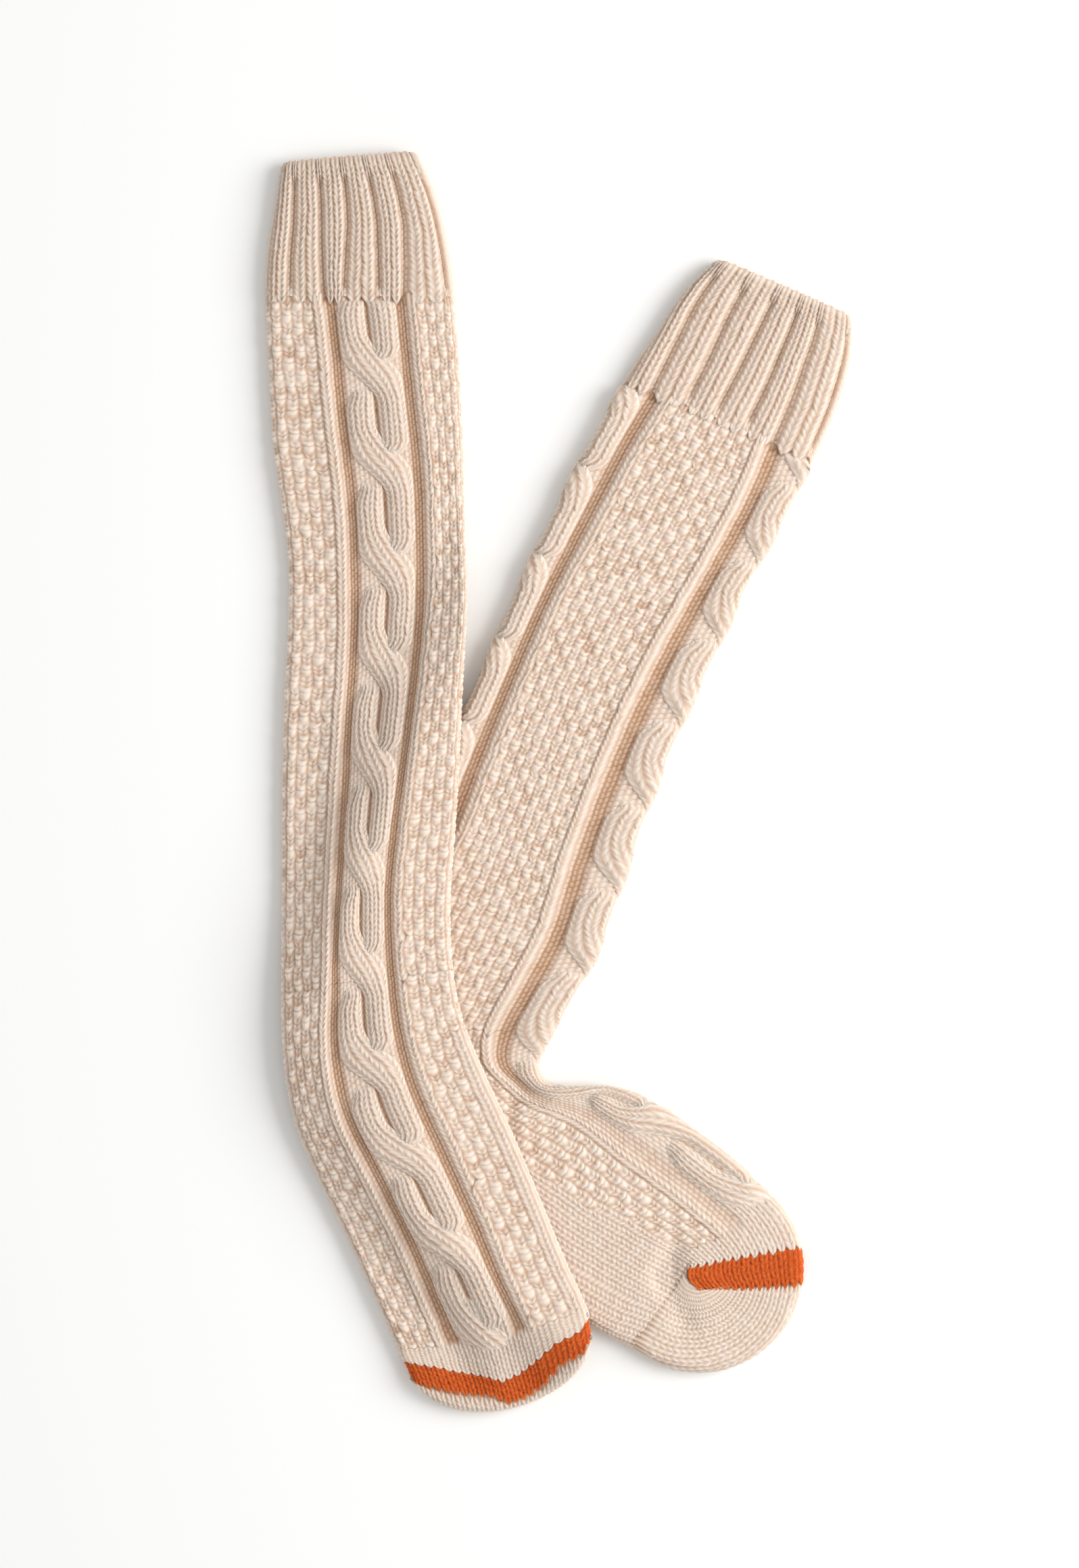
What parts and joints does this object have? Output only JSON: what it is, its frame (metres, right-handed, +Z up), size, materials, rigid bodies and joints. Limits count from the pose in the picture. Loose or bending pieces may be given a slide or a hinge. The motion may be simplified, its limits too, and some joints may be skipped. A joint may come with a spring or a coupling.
{
  "type": "pair of knee-high socks",
  "caption": "Knee-high cable-knit wool socks with ribbed cuffs and a contrast toe stripe, laid flat with one sock resting across the other.",
  "frame": {"origin": "middle of the laid pair's box, on the surface it rests on", "axes": "+Z up from the surface; +Y along the upper sock from toe to cuff; +X towards the lower sock's cuff and toe"},
  "size_m": [0.256, 0.548, 0.0206],
  "materials": {
    "cream_wool": "soft heather cream wool knit, matte",
    "orange_wool": "burnt orange wool knit, matte"
  },
  "bodies": {
    "root": {"lower_cuff": "cream_wool", "lower_leg": "cream_wool", "lower_foot": "cream_wool", "lower_toe_stripe": "orange_wool", "upper_cuff": "cream_wool", "upper_leg": "cream_wool", "upper_foot": "cream_wool", "upper_toe_stripe": "orange_wool"}
  },
  "joints": []
}
